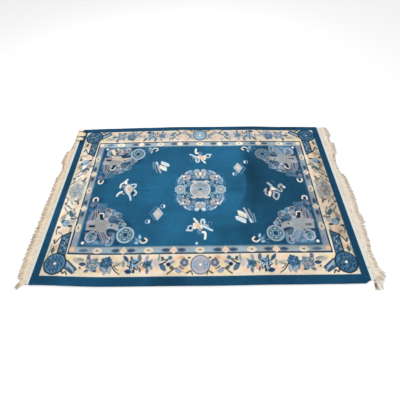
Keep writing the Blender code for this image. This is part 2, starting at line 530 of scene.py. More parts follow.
def brickwork(at, radius, pitch, dyes):
    """Short strokes laid as bricks inside a circle."""
    reach = int(radius / pitch) + 1
    for row in range(-reach, reach + 1):
        for count in range(-reach, reach + 1):
            x, y = (count + 0.5 * (row % 2)) * pitch * 2, row * pitch
            if math.hypot(x, y) > BRICKS_WITHIN * radius:
                continue
            at.at(x, y).dye(bar(pitch * 1.6, 9), dyes[(count + 2 * row) % len(dyes)])
            at.at(x + pitch * 0.7, y + pitch / 2).dye(bar(8, pitch), dyes[(count + row + 1) % len(dyes)])


BRICKS_WITHIN = 0.92
COIN_DYES = [
    ("blue", ("navy", "navy", "ink", "navy", "teal"), "white"),
    ("denim", ("navy", "ink", "blue", "ink"), "white"),
    ("denim", ("navy", "lavender", "ink", "slate", "navy"), "stone"),
    ("denim", ("ink", "navy", "blue", "ink"), "frost"),
]


def corner_coin(at, ground, fret_dyes, heart):
    at.dye(scallop(84, 8, 0.02), ground, "ink", 12.0, carve=1.2)
    fret = at.at(turn=45)
    brickwork(fret, 80, 20, fret_dyes)
    at.dye(ring(77, 6), ground, share=0.6)
    fret.dye(bar(42, 42), ground)
    fret.dye(bar(32, 32), "ink")
    fret.dye(bar(20, 20), heart)


def fret_bar(at, corners, ground, outline, rows):
    """A tied band beside a coin, filled with short fret strokes."""
    at.dye(polygon(corners), ground, outline, 9.0, carve=1.0)
    marks(at, rows)


def border_coin(at, ground, heart):
    """The grey coin in the middle of each long side."""
    at.dye(oval(74), ground, "slate", 9.0, carve=1.2)
    at.dye(oval(58), heart, soft=24, share=0.5)
    for turn in range(0, 360, 45):
        place = at.at(turn=turn)
        place.dye(stroke([(34, -6), (44, -6), (44, 6), (56, 6)], 4), "steel", share=0.8)
    at.at(-46, 4).dye(oval(16, 34), "frost", soft=14, share=0.8)
    for y in (-16, 14):
        at.at(46, y).dye(oval(11, 12), "frost", "slate", 5.0)
        at.at(-46, y).dye(ring(10, 5), "slate", share=0.7)
    at.dye(ring(19, 5), "stone", share=0.9)
    at.dye(oval(10), "white")


def side_medallion(at, ground, dark):
    """The worn medallion in the middle of each short side."""
    at.dye(oval(58, 70), ground, "stone", 5.0, share=0.45)
    at.dye(oval(40, 54), "mist", soft=30, share=0.3)
    for turn in range(30, 390, 60):
        place = at.at(turn=turn)
        place.at(24, 0).dye(curl(14, 7, 1.0, 90), dark, share=0.8)
        place.at(48, 6).dye(leaf(30, 12), dark, share=0.5)
    for side in (-1, 1):
        place = at.at(flip=(side, side))
        place.dye(stroke([(8, 56), (-6, 30), (6, 14)], 8, 6), "slate", share=0.8)
    at.dye(oval(9), "taupe", "ivory", 5.0, share=0.8)


# The border, drawn for the near left quarter and mirrored to the others.

BORDER_GROUND = table("""
form x y turn long wide dye rim
patch 290 1605 0 80 40 straw
patch 340 1620 20 70 40 stone
patch 505 1602 0 40 26 beige
patch 545 1703 0 60 44 apricot
patch 452 1722 0 50 20 straw
patch 655 1602 0 70 36 peach
patch 742 1700 0 60 40 peach
patch 820 1600 0 50 34 peach
patch 690 1650 20 70 34 stone
patch 977 1604 0 40 60 straw
patch 1016 1645 0 56 80 lilac
patch 1006 1705 0 70 34 peach
patch 1172 1615 0 50 50 peach
patch 1182 1655 0 40 40 straw
patch 1222 1600 0 60 36 apricot
patch 1180 1735 0 90 20 straw
patch 195 1095 0 60 110 peach
patch 108 1180 0 36 120 peach
patch 160 1350 -20 90 56 peach
patch 205 1250 0 46 66 stone
patch 130 1000 0 70 70 beige
patch 210 980 0 40 90 sage
patch 108 1400 0 24 60 peach
patch 175 1100 60 120 30 ivory
""")
BORDER_MARKS = table("""
form x y turn long wide dye rim
leaf 376 1612 16 74 24 sage
leaf 398 1652 4 62 30 navy mist
leaf 436 1590 100 46 26 slate mist
leaf 456 1612 30 44 18 navy
leaf 446 1706 -24 46 24 slate mist
leaf 508 1706 10 44 24 navy
leaf 392 1694 -10 40 26 peach ivory
leaf 384 1684 40 26 12 bark
leaf 545 1648 10 52 22 teal mist
leaf 562 1690 60 50 20 blue mist
leaf 598 1706 96 60 28 lavender slate
leaf 632 1700 78 60 28 guard slate
leaf 742 1650 80 64 26 sage
leaf 758 1606 48 72 27 navy mist
leaf 872 1602 80 68 30 slate mist
leaf 806 1602 60 44 20 teal
leaf 884 1700 74 48 20 slate
leaf 898 1682 60 60 28 apricot
leaf 934 1604 104 60 30 lavender
leaf 946 1708 88 52 24 slate lilac
leaf 1036 1602 92 66 18 sage
leaf 1066 1606 50 40 24 navy
leaf 1072 1682 50 74 33 denim navy
leaf 1148 1640 -20 56 26 lavender
leaf 1146 1686 30 40 26 moss sage
oval 1118 1658 0 34 30 ink lavender
oval 1130 1602 0 36 34 teal sky
leaf 1204 1712 16 62 36 lavender
oval 1246 1610 0 20 18 ink
oval 1290 1602 0 26 18 moss
oval 1260 1706 0 40 36 straw apricot
oval 1226 1600 0 30 22 apricot
leaf 170 1170 62 84 34 teal mist
leaf 202 1178 112 54 20 slate
leaf 134 1164 100 50 18 sage
leaf 112 1210 96 60 26 stone slate
oval 120 1252 0 34 36 teal mist
oval 152 1272 0 56 60 frost slate
oval 160 1266 0 26 30 lavender
leaf 196 1300 4 48 26 bark
leaf 96 1312 10 40 22 bark
oval 122 1086 30 30 20 taupe
oval 88 1054 0 26 26 taupe
leaf 178 1028 20 44 22 taupe
leaf 202 1050 60 44 18 slate
leaf 206 1012 110 44 14 stone
leaf 146 1050 60 50 14 sage
leaf 150 1110 40 60 16 stone
leaf 190 1130 70 60 18 sage
leaf 212 1200 20 40 16 sage
leaf 90 1224 90 60 14 rose
leaf 210 1340 100 60 16 sage
leaf 110 1536 85 66 28 teal
leaf 128 1372 30 60 16 stone
""")
BORDER_LINES = table("""
wide tip dye path
9 6 slate 432,1606>428,1628>444,1650
12 7 ink 640,1656>664,1690>690,1716>722,1736
8 6 bark 664,1664>684,1690>706,1700
9 5 taupe 664,1664>690,1660>720,1640
15 12 navy 1046,1658>1076,1646>1112,1618
9 8 teal 1052,1626>1080,1620>1104,1612
11 7 bark 1112,1736>1140,1716>1168,1694>1196,1690
14 8 moss 1212,1676>1226,1688>1246,1696
12 9 bark 1272,1732>1290,1722>1306,1712>1320,1744
9 9 navy 800,1616>806,1646>798,1676>804,1700
9 7 ink 772,1664>796,1672>810,1690
8 7 ink 818,1642>842,1648>860,1634
13 9 ink 832,1678>838,1702>826,1722
9 8 navy 850,1660>866,1680>860,1704
9 7 bark 880,1654>900,1640>918,1650
12 11 ink 240,1716>254,1734>270,1718>288,1742
9 6 bark 74,984>90,994>98,1012>94,1036
9 6 slate 92,1100>106,1124>124,1140>132,1166
16 13 slate 184,1222>214,1224>240,1216
8 6 bark 186,996>196,1020>214,1062
9 6 teal 150,1140>164,1160
10 7 ink 90,1318>84,1346>96,1384
6 5 bark 100,1060>96,1084
11 10 ink 152,1396>128,1432>108,1472>92,1440
9 9 teal 96,1436>104,1452
9 7 sage 84,1486>88,1530>80,1596
6 5 slate 104,1494>110,1520>114,1545
""")
BORDER_SPRIGS = table("""
form x y turn long wide dye rim
drop 846 1630 20 24 16 frost navy
drop 816 1694 60 24 16 frost navy
drop 858 1656 100 24 16 frost navy
drop 788 1644 30 24 16 frost navy
blade 916 1656 96 54 24 teal mist
blade 968 1634 118 50 24 steel mist
blade 974 1680 62 50 24 steel mist
blade 936 1676 140 40 24 teal mist
""")
BORDER_STEMS = table("""
form x y turn long wide dye rim
blade 834 1716 60 30 20 ink
bar 800 1636 30 26 8 ink
bar 812 1672 80 30 8 ink
bar 838 1648 120 34 8 ink
bar 858 1634 20 28 8 ink
bar 846 1686 60 30 8 ink
bar 824 1624 100 22 8 ink
""")
UP_BAR = table("""
form x y turn long wide dye rim
bar 176 1420 60 26 7 frost
bar 206 1412 -30 26 9 navy
bar 180 1444 0 28 8 ink
bar 208 1448 60 28 7 guard
bar 194 1470 80 26 8 rose
bar 178 1488 20 26 7 frost
bar 210 1484 -20 28 8 ink
bar 186 1512 60 26 8 navy
bar 210 1514 20 24 7 frost
bar 176 1536 0 24 7 guard
bar 204 1544 70 28 8 ink
bar 196 1496 10 16 6 sage
bar 200 1430 10 18 6 frost
""")
SIDE_BAR = table("""
form x y turn long wide dye rim
bar 296 1666 38 96 11 mist
bar 302 1682 38 96 10 frost
bar 300 1696 38 100 7 navy
bar 316 1672 38 70 6 teal
bar 340 1716 38 40 10 guard
bar 270 1672 38 40 8 guard
""")


def border_quarter(at, coin_dyes):
    marks(at, BORDER_GROUND)
    at.dye(polygon([(108, 1492), (150, 1468), (150, 1540), (128, 1548)]), "apricot", share=0.8, soft=10)
    at.dye(polygon([(118, 1400), (146, 1402), (122, 1440)]), "ivory", soft=8)
    at.at(826, 1660).dye(scallop(42, 6, 0.18), "white", "slate", 3.0, carve=0.7)
    at.at(834, 1640, 40).dye(scallop(38, 6, 0.18), "frost", "white", 5.0, carve=0.7)
    marks(at, BORDER_MARKS)
    peony(at.at(484, 1654, 4, 0.92), "slate", "steel", "mist", "rose")
    peony(at.at(597, 1638, -8, 0.86), "navy", "denim", "blue", "lavender")
    lines(at, BORDER_LINES)
    marks(at, BORDER_SPRIGS)
    at.at(948, 1652, 30).dye(scallop(24, 5, 0.2), "denim", "slate", 5.0, carve=0.8)
    at.at(946, 1656, 10).dye(leaf(30, 12), "navy")
    at.at(790, 1714, 10).dye(leaf(62, 36), "navy", "mist", 4.0, carve=0.8)
    marks(at, BORDER_STEMS)
    blossom(at.at(1250, 1644, 20), 36, "slate", "lavender", "mist")
    fret_bar(at, [(160, 1580), (160, 1404), (220, 1370), (226, 1580)], "denim", "ink", UP_BAR)
    at.dye(stroke([(150, 1400), (226, 1358)], 11), "ink")
    at.dye(stroke([(154, 1400), (158, 1560)], 9), "ink")
    bar_end = [(244, 1630), (262, 1626), (354, 1696), (330, 1728), (242, 1678)]
    fret_bar(at, bar_end, "denim", "navy", SIDE_BAR)
    corner_coin(at.at(165, 1653), *coin_dyes)


def dye_border():
    Place(160, 840).dye(oval(66, 600), "white", soft=70, share=0.62)
    Place(MIDDLE_X, 150).dye(oval(1060, 66), "guard", soft=60, share=0.28)
    for quarter, coin_dyes in zip(QUARTERS, COIN_DYES):
        border_quarter(quarter, coin_dyes)
    Place(MIDDLE_X, 150).dye(oval(1060, 70), "mist", soft=40, share=0.22)
    for x in (1176, 1580):
        Place(x, 176).dye(oval(64, 34), "rose", "ivory", 7.0, share=0.6)
    border_coin(Place(1384, 1661), "lilac", "stone")
    border_coin(Place(1378, 147), "steel", "sky")
    side_medallion(Place(150, 902, size=1.2), "sage", "steel")
    side_medallion(Place(2594, 902, size=1.25), "lavender", "taupe")


def dye_guard():
    """The guard stripe's links and leaves, the long sides' first and then the short sides'."""
    for x in (-690, 510):
        Place(MIDDLE_X + x, 281).dye(oval(110, 26), "slate", soft=50, share=0.5)
    for x in (-780, -620, -330, -110, 110, 330):
        Place(MIDDLE_X + x, 1533).dye(oval(110, 24), "frost", soft=30, share=0.3)
    for y in (560, 800, 1090, 1310):
        Place(2470, y, 90).dye(oval(90, 20), "frost", soft=36, share=0.35)
    for y in (1533, 281):
        side = Place(MIDDLE_X, y)
        for x in (-884, -442, 0, 442, 884):
            oval_link(side.at(x + 4 * (y > MIDDLE_Y)))
        for x in (-654, -222, 222, 654):
            rosette_and_leaves(side.at(x))
        for x in (-1000, 1000):
            side.at(x).dye(leaf(80, 26), "slate", "blue", 4.0, share=0.8)
    for x in (277, 2470):
        side = Place(x, MIDDLE_Y, 90)
        for y in (-416, 0, 416):
            oval_link(side.at(y))
        for y in (-208, 208):
            rosette_and_leaves(side.at(y), "cream")
        for y in (-548, 548):
            side.at(y).dye(leaf(90, 34), "lavender", "blue", 4.0)
        for y in (-318, -98, 98, 318):
            side.at(y).dye(oval(24, 14), "lavender", soft=10, share=0.6)
        for y in (-623, 623):
            side.at(y).dye(bar(40, 42, 8), "beige", "peach", 4.0, carve=0.8)
            blossom(side.at(y), 20, "peach" if y > 0 else "cream", "rose" if y > 0 else "beige", "ivory", 4)


dye_border()
dye_guard()


# The field: a book, a table, a vase, clouds and peonies in each corner.

TREASURE_MARKS = table("""
form x y turn long wide dye rim
patch 372 1064 30 80 70 slate
patch 440 1108 20 110 70 slate
patch 560 1215 20 140 90 slate
patch 470 1462 0 250 50 blue
patch 350 1410 0 60 170 navy
patch 640 1450 0 120 70 navy
patch 700 1270 30 150 60 navy
patch 380 1010 0 130 60 navy
patch 396 1220 0 100 80 lavender
patch 590 1404 90 150 80 slate
curl 350 1070 0 40 9 lavender
curl 386 1090 120 38 9 navy
curl 370 1048 200 34 8 blue
curl 472 1084 180 50 11 blue
curl 352 1126 60 38 9 blue
curl 452 1130 40 38 8 blue
oval 404 1064 0 16 12 lavender
oval 530 1160 0 76 76 slate mist
oval 512 1127 10 50 32 slate mist
oval 548 1132 20 34 26 mist
oval 568 1158 80 56 34 blue guard
leaf 506 1162 80 50 22 lavender slate
leaf 526 1168 95 56 22 guard slate
leaf 546 1176 105 46 20 mist slate
oval 534 1146 0 16 12 slate
oval 607 1174 20 38 32 steel sky
oval 632 1188 80 44 32 denim mist
oval 612 1202 10 34 22 stone slate
oval 508 1222 -10 44 28 lilac slate
oval 536 1212 40 34 24 lilac
oval 486 1206 0 18 14 ink
leaf 574 1222 15 70 34 denim blue
leaf 594 1248 -8 60 26 navy blue
leaf 548 1236 60 40 18 slate
oval 646 1244 30 44 32 denim sky
oval 668 1264 60 44 32 slate mist
oval 686 1286 0 34 28 steel sky
oval 654 1282 20 36 26 denim mist
oval 626 1252 90 26 16 ink
oval 640 1216 20 26 16 denim
""")
BOOK_LINES = table("""
wide tip dye path
13 11 lavender 376,1152>368,1196>366,1236
10 9 stone 406,1124>420,1176>430,1230
8 8 mist 392,1132>402,1180>404,1236
6 6 slate 384,1142>388,1190>386,1236
9 7 bark 422,1140>433,1172
8 6 bark 404,1164>412,1192
7 6 ivory 440,1190>446,1238
15 14 ivory 347,1028>347,1000>366,987>387,997>391,1022
15 12 blue 403,1114>407,1078>426,1061>448,1074
10 9 blue 432,1088>430,1108>440,1126
13 12 ivory 436,1184>446,1165>476,1168>486,1202
24 12 ink 450,1182>462,1202>476,1224>500,1240
9 8 sky 502,1240>514,1226>532,1240
""")
LOW_LINES = table("""
wide tip dye path
14 12 mist 546,1312>598,1310>650,1336
26 18 navy 548,1342>590,1340>616,1354
12 10 ink 548,1352>556,1384>588,1396>606,1378
9 8 denim 566,1358>582,1364>584,1378
24 22 steel 604,1382>613,1424>606,1472
10 8 frost 556,1474>576,1486>600,1480
10 9 frost 454,1466>470,1450>490,1470
8 7 navy 588,1410>592,1450>584,1466
7 7 sky 374,1372>364,1404>378,1440>410,1454>448,1432
8 8 lilac 452,1372>458,1404>446,1432
7 6 lavender 462,1362>496,1412>524,1452
7 6 lavender 496,1356>530,1404>546,1440
7 6 mist 480,1362>514,1410>536,1450
16 8 navy 466,1386>482,1416>506,1448
8 7 lilac 520,1352>546,1388>562,1404
""")
LOW_MARKS = table("""
form x y turn long wide dye rim
patch 488 1290 0 130 100 stone
patch 372 1262 0 60 34 lilac
patch 560 1290 0 70 30 mist
bar 398 1299 0 58 24 ink lilac
oval 574 1291 0 20 20 bark mist
oval 586 1412 80 46 34 mist slate
oval 566 1448 60 44 34 lavender denim
oval 588 1464 0 30 22 guard
oval 640 1366 20 24 16 slate
oval 412 1400 80 62 44 slate
leaf 392 1428 70 34 14 lilac
leaf 438 1396 80 40 14 mist
oval 410 1400 60 38 28 teal frost
oval 420 1436 0 24 10 blue
leaf 430 1378 30 34 20 bark
oval 443 1354 20 22 16 bark
oval 376 1352 0 22 14 ink
oval 352 1366 0 12 20 slate
oval 352 1463 0 27 27 white
""")
# The far left corner's vase is warmer than the others.
WARM_LINES = table("""
wide tip dye path
40 28 beige 440,1322>520,1308>596,1316
10 8 bark 470,1340>560,1332
40 34 cream 420,1440>440,1384
24 18 peach 468,1462>532,1414
18 14 cream 424,1352>470,1340>522,1336
22 18 lilac 500,1400>540,1376
9 7 bark 440,1452>458,1420>482,1376
8 7 bark 418,1392>434,1368>452,1356
8 7 ink 486,1448>506,1424
34 28 navy 536,1360>570,1354
24 18 rose 578,1464>604,1452
7 6 ivory 462,1410>500,1440>528,1462
""")
COIN_TASSEL_MARKS = table("""
form x y turn long wide dye rim
leaf 812 1418 60 46 24 denim
leaf 848 1408 70 46 24 frost
leaf 832 1438 30 54 26 steel blue
leaf 822 1464 10 46 22 frost
leaf 800 1450 70 36 18 denim
leaf 784 1474 0 40 20 denim
leaf 772 1440 40 36 16 blue
oval 886 1440 40 28 20 bark
""")


def corner_treasures(at):
    """Clouds, a tilted book, a low table with a hanging cloth, a vase and peonies."""
    marks(at, TREASURE_MARKS)
    book = [(374, 1138), (402, 1112), (428, 1126), (446, 1188), (442, 1244), (352, 1240), (350, 1192)]
    at.dye(polygon(book), "slate", "lavender", 5.0, carve=0.9)
    lines(at, BOOK_LINES)
    at.at(366, 1022).dye(oval(7, 11), "bark")
    drape = [(448, 1348), (528, 1348), (556, 1396), (552, 1446), (526, 1462), (500, 1434), (470, 1396)]
    at.dye(polygon(drape), "slate", "lilac", 4.0, carve=0.9)
    at.at(412, 1402).dye(scallop(49, 7, 0.12), "steel", "lilac", 9.0, carve=0.9)
    board = [(345, 1246), (416, 1238), (428, 1206), (452, 1236), (520, 1244), (560, 1274), (606, 1276),
             (634, 1298), (638, 1342), (610, 1326), (550, 1314), (542, 1352), (430, 1352), (422, 1332),
             (352, 1334)]
    at.dye(polygon(board), "stone", "lilac", 5.0, carve=1.0)
    marks(at, LOW_MARKS)
    lines(at, LOW_LINES)
    for x in range(446, 530, 14):
        at.dye(stroke([(x, 1270), (x + 8, 1344)], 3), "slate", share=0.35)


def field_coin(at, ring_dye):
    """A pierced coin, 156 across."""
    at.dye(oval(78), "steel", "slate", 3.0, carve=1.0)
    at.dye(ring(72, 12), ring_dye, share=0.65)
    for turn in range(0, 360, 90):
        place = at.at(turn=turn)
        place.at(44, 0, 90).dye(bar(46, 26, 9), "teal", "slate", 3.0, carve=0.7)
        place.at(44, 0, 90).dye(bar(26, 9, 3), "sky", share=0.75)
    at.dye(bar(52, 52), "steel", "frost", 3.0, carve=0.9)
    at.dye(bar(38, 38), "navy")


def coin_tassel(at):
    """Leaves and a hooked curl beside the field's coin."""
    marks(at, COIN_TASSEL_MARKS)
    hook = [(854, 1446), (874, 1464), (902, 1460), (914, 1440), (896, 1422)]
    at.dye(stroke(hook, 12, 15), "ivory", carve=0.9)


# Tied emblems with waving ribbons, one to each side of the medallion. No two are tied alike.

NEAR_EMBLEM = table("""
wide tip dye path
18 20 white -40,-78>-26,-58>-10,-40
16 20 sky 24,-30>27,-62>44,-68>54,-56>55,-34
14 12 sky -92,30>-92,8>-72,-6>-52,6>-52,32
20 16 sky -104,38>-84,40>-60,42
12 10 blue 92,-4>90,-30>104,-44>120,-32>116,-14
26 17 sky 40,0>72,12>100,30>124,42
16 12 mist 34,-14>62,-16>88,-2
34 30 ivory -34,-20>-34,14
26 24 ivory 26,-6>26,16
22 20 lilac 12,24>16,40
20 16 blue -6,46>4,70>22,72
22 20 white 38,58>58,62>62,90>58,120
""")
LEFT_EMBLEM = table("""
wide tip dye path
22 20 sky 640,770>638,778
26 24 white 626,790>632,818
18 18 white 612,808>584,830>582,868
14 12 slate 596,838>636,838
14 13 mist 590,854>630,853
17 15 sky 690,834>734,832>729,866>706,880
12 12 denim 704,846>706,858
18 16 sky 728,902>752,936>732,966
24 24 ink 714,930>714,940
22 17 sky 658,926>690,966>708,1018
20 17 white 606,920>580,936>564,968
16 14 stone 606,940>634,946
""")
RIGHT_EMBLEM = table("""
wide tip dye path
24 24 mist 2060,836>2088,870>2100,906
14 12 teal 2100,800>2124,816>2120,836
24 20 rose 2088,906>2066,944
30 24 ivory 2064,950>2056,986
16 14 lilac 2012,932>2032,906>2026,940>2020,966>2044,986
18 18 bark 2046,920>2046,928
18 16 bark 2036,958>2040,964
24 20 guard 2164,886>2162,866>2186,850>2200,872
20 20 white 2208,878>2214,888
15 14 mist 2134,906>2152,928>2182,936>2182,902
18 14 stone 2096,908>2124,918
17 17 mist 2098,942>2136,954>2150,974>2120,1030>2092,1004>2100,962
""")


def near_emblem(at):
    lines(at, NEAR_EMBLEM)
    at.at(-72, 16).dye(oval(9, 11), "ink")
    at.at(104, -26).dye(oval(7, 9), "ink")
    at.at(-6, -8, 80).dye(leaf(62, 36), "peach", "ivory", 5.0, carve=0.8)
    at.at(10, 10, 60).dye(leaf(40, 16), "lilac", share=0.8)


def dye_emblems():
    near_emblem(Place(1366, 1310))
    near_emblem(Place(1394, 484, flip=(-1, -1)))
    left = Place(668, 884, 66)
    left.dye(leaf(132, 86), "mist", "guard", 3.0, carve=0.8)
    lines(Place(), LEFT_EMBLEM)
    left.dye(oval(46, 26), "ivory", share=0.8)
    left.at(8, -4).dye(oval(30, 18), "rose", soft=10)
    lines(Place(), RIGHT_EMBLEM)
    Place(2102, 905, 20).dye(oval(26, 15), "ivory", "stone", 3.0)


SCROLL_LINES = table("""
wide tip dye path
20 20 mist -4,-84>20,-30>52,66
7 6 slate 28,-70>44,-20>62,56
15 14 steel 40,-74>66,0>74,72
14 12 steel 82,-20>92,30>94,70
22 18 sky 46,44>56,70
""")


def book_and_scroll(at):
    """A book and a rolled scroll laid crosswise."""
    lines(at, SCROLL_LINES)
    far_page = [(-66, -58), (-40, -52), (12, -16), (14, 24), (-28, 8), (-60, -10)]
    at.dye(polygon(far_page), "ivory", "sky", 5.0, carve=0.9)
    near_page = [(-90, 8), (-66, 8), (0, 44), (-2, 76), (-30, 66), (-84, 36)]
    at.dye(polygon(near_page), "sky", "white", 5.0, carve=0.9)
    at.dye(stroke([(-60, -20), (-30, -6), (8, 16)], 8), "beige")
    at.dye(stroke([(-64, 0), (-30, 14), (8, 38)], 8), "bark")


def lozenges(at):
    """A lozenge across another that shows as an outline, with small drops."""
    shadow = at.at(26, 8)
    shadow.dye(diamond(116, 160), "blue", carve=0.9)
    shadow.dye(diamond(94, 132), "field")
    at.dye(diamond(86, 124), "mist", "sky", 5.0, carve=1.0)
    at.dye(diamond(54, 80), "cream", soft=14, share=0.6)
    at.dye(stroke([(-14, -22), (12, 22)], 10), "rose", share=0.4)
    at.dye(stroke([(-26, 6), (0, 40)], 8), "guard")
    for x, y in ((90, -80), (-38, 80)):
        at.at(x, y).dye(ring(19, 7), "frost", share=0.8)
        at.at(x - 15, y + 1, 90).dye(oval(18, 9), "white", carve=0.5)


# The medallion in the middle of the field.

WREATH_MARKS = table("""
form x y turn long wide dye rim
patch 152 150 -45 190 110 slate
patch 104 206 -20 110 70 blue
patch 212 100 70 110 70 blue
curl 88 212 0 56 10 frost
curl 120 190 140 40 8 lavender
curl 66 240 220 36 8 blue
curl 216 84 60 52 10 frost
curl 198 118 200 40 8 lavender
curl 248 62 20 36 8 blue
curl 152 96 120 42 8 blue
curl 98 152 300 42 8 blue
curl 184 56 0 38 8 denim
curl 58 184 90 32 8 blue
leaf 112 236 -25 50 17 frost
leaf 146 214 -45 52 18 sky
leaf 206 152 -55 54 18 sky
leaf 228 116 -75 48 17 frost
leaf 120 172 30 44 20 mist
leaf 176 128 60 44 20 mist
leaf 190 176 45 30 16 sky
oval 144 150 45 78 56 lilac mist
oval 130 140 20 40 30 mist stone
leaf 112 160 60 44 16 ivory
leaf 164 128 20 40 16 mist
leaf 124 166 30 44 14 stone
oval 156 152 45 22 16 bark
oval 173 165 0 25 25 white
patch 126 66 0 100 70 teal
patch 64 146 0 70 60 slate
curl 116 58 30 44 8 frost
curl 152 50 200 36 7 sky
curl 128 92 100 38 7 frost
curl 92 84 0 30 7 blue
curl 66 152 40 40 8 frost
curl 46 124 200 30 7 blue
leaf 146 76 60 34 14 navy
leaf 100 118 30 34 14 navy
leaf 172 88 80 34 12 sky
oval 64 98 0 34 19 ivory sky
oval 68 98 0 16 9 rose
oval 84 95 0 24 18 sky
""")
CROWN_MARKS = table("""
form x y turn long wide dye rim
oval 0 0 0 104 66 mist ivory
oval 37 -34 -60 46 50 mist sky
oval -37 -34 60 46 50 mist sky
oval 30 2 80 54 32 stone mist
oval -30 2 80 54 32 stone mist
oval 46 10 80 40 18 ivory
oval -46 10 80 40 18 ivory
leaf 0 -2 90 62 26 white slate
oval 0 -34 0 10 24 navy
oval 24 46 0 30 28 mist sky
oval -24 46 0 30 28 mist sky
oval 0 44 0 9 24 navy
""")
BUD_MARKS = table("""
form x y turn long wide dye rim
oval 0 -6 0 106 84 sky frost
oval 0 4 0 80 74 slate
leaf 0 -4 90 78 56 stone ivory
leaf 0 -2 90 46 24 beige sage
oval 34 38 30 42 36 sky frost
oval -34 38 -30 42 36 sky frost
oval 44 -2 80 40 22 mist
oval -44 -2 80 40 22 mist
oval 0 44 90 24 9 navy
oval 0 -52 90 16 9 navy
""")


DISC_SHADES = table("""
turn dye
-90 steel
-40 steel
220 guard
150 stone
40 stone
90 beige
""")


def heart_disc(at):
    """The medallion's pale disc, 208 across."""
    at.dye(oval(101), "mist", "slate", 3.0, carve=1.2)
    at.dye(ring(97, 9), "ivory", share=0.75)
    at.dye(oval(91), "mist")
    for row in DISC_SHADES:
        at.at(turn=row["turn"]).at(56, 0).dye(oval(34, 28), row["dye"], soft=16, share=0.55)
    for x in range(-64, 80, 16):
        at.dye(stroke([(x * 0.9, 26), (x, 70 - abs(x) * 0.3)], 4), "guard", share=0.6)
        dye = "steel" if x % 32 else "taupe"
        at.dye(stroke([(x, -30), (x * 0.9, abs(x) * 0.3 - 74)], 6), dye, share=0.6)
    at.dye(oval(84, 9), "frost", soft=10, share=0.55)
    at.dye(stroke([(-80, 12), (80, 12)], 5), "stone", share=0.7)
    for x, y in ((58, 40), (-56, -30)):
        at.at(x, y).dye(oval(11, 9), "rose", soft=8, share=0.5)
    at.dye(oval(22, 12), "blue", "guard", 4.0, share=0.8)
    at.dye(oval(15, 9), "navy")


def side_rosette(at):
    """The round flower beside the disc."""
    for count, turn in enumerate(range(-158, 202, 45)):
        at.at(turn=turn).dye(petal(57, 40), ("mist", "frost")[count % 2], "sky", 5.0, carve=0.7)
        at.at(turn=turn).at(40, 0).dye(oval(9, 6), "steel")
    at.dye(scallop(33, 8, 0.12), "lilac", "steel", 4.0)
    at.dye(oval(22), "stone", "mist", 5.0, carve=0.8)
    at.dye(oval(11), "cream")


def dye_medallion():
    middle = Place(1383, 904)
    for flip in ((1, 1), (-1, 1), (1, -1), (-1, -1)):
        marks(middle.at(size=0.97, flip=flip), WREATH_MARKS)
    heart_disc(middle)
    marks(middle.at(0, -195, size=0.96), CROWN_MARKS)
    marks(middle.at(0, 192, size=0.94), BUD_MARKS)
    side_rosette(middle.at(-200, 0, size=0.9))
    side_rosette(middle.at(202, 3, size=0.9, flip=(-1, 1)))


# Painted light and shade: outlines of where the pile is made lighter or darker for the way its nap lies,
# with painted shadow at the far left corner beside the turned-back locks; how much, and how soft their edges
# are.

PAINTED_NAP_LIGHT = table("""
tone soft outline
-0.36 90 1830,330>1858,520>1836,650>1876,800>1880,940>
1836,1080>1770,1200>1730,1320>1790,1500>2450,1500>2450,330
-0.16 160 1836,500>2000,470>2080,700>2000,900>1880,800>1836,650
-0.16 120 2230,330>2450,330>2450,1500>2260,1500>2180,900
-0.26 90 1500,1330>1620,1290>1780,1330>1840,1420>1760,1480>1560,1480
-0.20 160 1080,320>1420,320>1380,440>1140,460
-0.16 160 780,330>1080,320>1060,520>800,560
-0.18 120 310,320>420,320>420,1500>310,1500
-0.14 160 700,1060>1000,1120>960,1440>760,1340
-0.12 100 300,1440>2440,1440>2440,1505>300,1505
-0.16 120 1640,820>1790,800>1800,960>1650,960
0.16 120 1640,920>1840,940>1820,1100>1640,1140
0.16 140 1480,340>1800,340>1810,520>1600,640>1480,520
0.16 160 900,760>1120,720>1120,1040>920,1020
0.14 120 1040,1200>1300,1180>1300,1440>1060,1440
-0.16 70 2676,-10>2753,-10>2753,1839>2676,1839
-0.42 70 2590,330>2676,330>2676,1440>2590,1440
-0.16 60 2450,900>2600,900>2600,1440>2450,1440
-0.09 140 380,500>760,500>760,1260>380,1260
-0.20 60 980,1745>1260,1745>1260,1850>980,1850
0.12 60 240,1745>560,1745>560,1850>240,1850
-0.16 60 1900,1745>2140,1745>2140,1850>1900,1850
-0.16 60 -20,560>110,560>110,900>-20,900
0.12 60 -20,1100>110,1100>110,1400>-20,1400
-0.05 60 300,-60>620,-60>620,80>300,80
-0.30 50 1836,-30>1836,60>2500,60>2500,-30
-0.50 40 -20,-20>66,-20>58,150>40,250>-20,250
0.30 24 250,250>2500,250>2500,312>250,312
-0.24 50 1980,236>2260,236>2260,330>1980,330
-0.16 18 700,894>1100,902>1260,906>1260,912>700,916
-0.20 18 1620,904>1700,898>1800,908>1800,916>1620,914
-0.10 90 -10,1500>220,1600>220,1839>-10,1839
""")


# Painted shade on the patch whose nap is turned over, with a crisp edge on its left. The shade fades out at
# the patch's other sides.
TURNED_NAP_SHADE_OUTLINE = [(1800, 420), (1846, 500), (1826, 640), (1838, 720), (1850, 800), (1848, 862), (1830, 938),
              (1806, 998), (1778, 1056), (1740, 1120), (1700, 1200), (1900, 1300), (2400, 1200), (2400, 420)]
TURNED_SHADE = 0.38
TURNED_SOFT = 14
TURNED_FADES = {"right": (2180, 330), "far": (430, 300), "near": (1190, 170)}
STREAKS = 0.03


